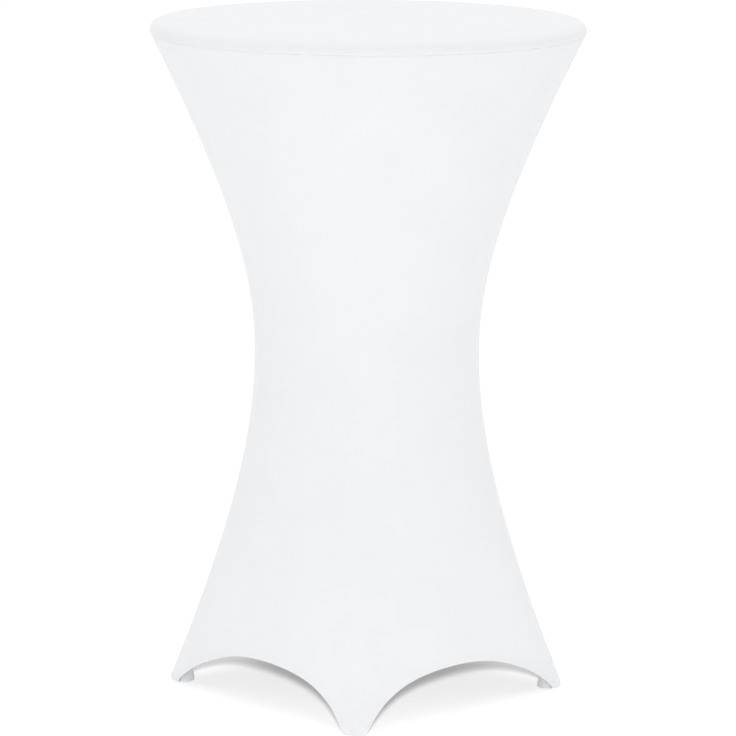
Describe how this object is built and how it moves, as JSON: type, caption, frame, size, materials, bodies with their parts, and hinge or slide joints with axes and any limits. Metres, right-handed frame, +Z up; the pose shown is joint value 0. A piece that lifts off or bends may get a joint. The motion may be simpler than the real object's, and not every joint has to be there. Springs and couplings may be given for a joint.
{
  "type": "covered standing table",
  "caption": "Round standing table on a column and cross foot, dressed in a stretch cover that narrows to a waist and hooks under the feet.",
  "frame": {"origin": "on the floor under the column's axis", "axes": "+Z up, -Y towards the front foot, +X towards the right foot"},
  "size_m": [0.7026, 0.7026, 1.1032],
  "materials": {
    "cover_cloth": "white elastane knit, stretched smooth",
    "seam_tape": "white sewn tape and hems, plain weave",
    "pocket_cup": "white doubled cloth, felted where it stands on the floor",
    "particle_board": "raw particle board",
    "laminate": "white melamine laminate",
    "edge_band": "moulded white band",
    "powder_coated_steel": "light grey powder coat",
    "cast_iron": "light grey powder coat over a cast skin",
    "zinc_plated_steel": "bright zinc plate",
    "black_oxide_steel": "black oxide",
    "brass": "turned brass",
    "nylon": "moulded black nylon"
  },
  "bodies": {
    "root": {"cover_top": "cover_cloth", "skirt_front": "cover_cloth", "skirt_back": "cover_cloth", "rim_tape": "seam_tape", "side_seam_left": "seam_tape", "side_seam_right": "seam_tape", "table_board": "particle_board", "top_laminate": "laminate", "edge_band": "edge_band", "column_tube": "powder_coated_steel", "top_plate": "powder_coated_steel", "base_hub": "cast_iron", "tie_rod": "zinc_plated_steel", "rod_washers": "zinc_plated_steel", "rod_nuts": "zinc_plated_steel", "plate_screws": "zinc_plated_steel", "arm_screws": "black_oxide_steel", "hem_band_front_right": "seam_tape", "hem_band_back_right": "seam_tape", "hem_band_back_left": "seam_tape", "hem_band_front_left": "seam_tape", "base_arm_front": "cast_iron", "arm_insert_front": "brass", "base_arm_right": "cast_iron", "arm_insert_right": "brass", "base_arm_back": "cast_iron", "arm_insert_back": "brass", "base_arm_left": "cast_iron", "arm_insert_left": "brass"},
    "glide_front": {"glide_pad_front": "nylon", "pocket_cup_front": "pocket_cup", "foot_pocket_front": "cover_cloth"},
    "stud_front": {"glide_stud_front": "zinc_plated_steel"},
    "glide_right": {"glide_pad_right": "nylon", "pocket_cup_right": "pocket_cup", "foot_pocket_right": "cover_cloth"},
    "stud_right": {"glide_stud_right": "zinc_plated_steel"},
    "glide_back": {"glide_pad_back": "nylon", "pocket_cup_back": "pocket_cup", "foot_pocket_back": "cover_cloth"},
    "stud_back": {"glide_stud_back": "zinc_plated_steel"},
    "glide_left": {"glide_pad_left": "nylon", "pocket_cup_left": "pocket_cup", "foot_pocket_left": "cover_cloth"},
    "stud_left": {"glide_stud_left": "zinc_plated_steel"}
  },
  "joints": [
    {"name": "glide_front_travel", "type": "slide", "parent": "root", "child": "glide_front", "axis": [0, 0, -1], "range_m": [0, 0.008]},
    {"name": "stud_front_turn", "type": "hinge", "parent": "glide_front", "child": "stud_front", "pos_m": [0, -0.298, 0.013], "axis": [0, 0, -1], "range_deg": [0, 2310]},
    {"name": "glide_right_travel", "type": "slide", "parent": "root", "child": "glide_right", "axis": [0, 0, -1], "range_m": [0, 0.008]},
    {"name": "stud_right_turn", "type": "hinge", "parent": "glide_right", "child": "stud_right", "pos_m": [0.298, 0, 0.013], "axis": [0, 0, -1], "range_deg": [0, 2310]},
    {"name": "glide_back_travel", "type": "slide", "parent": "root", "child": "glide_back", "axis": [0, 0, -1], "range_m": [0, 0.008]},
    {"name": "stud_back_turn", "type": "hinge", "parent": "glide_back", "child": "stud_back", "pos_m": [0, 0.298, 0.013], "axis": [0, 0, -1], "range_deg": [0, 2310]},
    {"name": "glide_left_travel", "type": "slide", "parent": "root", "child": "glide_left", "axis": [0, 0, -1], "range_m": [0, 0.008]},
    {"name": "stud_left_turn", "type": "hinge", "parent": "glide_left", "child": "stud_left", "pos_m": [-0.298, 0, 0.013], "axis": [0, 0, -1], "range_deg": [0, 2310]}
  ],
  "couplings": [
    {"joint": "stud_front_turn", "follows": "glide_front_travel", "rad_per_m": 5026.6},
    {"joint": "stud_right_turn", "follows": "glide_right_travel", "rad_per_m": 5026.6},
    {"joint": "stud_back_turn", "follows": "glide_back_travel", "rad_per_m": 5026.6},
    {"joint": "stud_left_turn", "follows": "glide_left_travel", "rad_per_m": 5026.6}
  ]
}
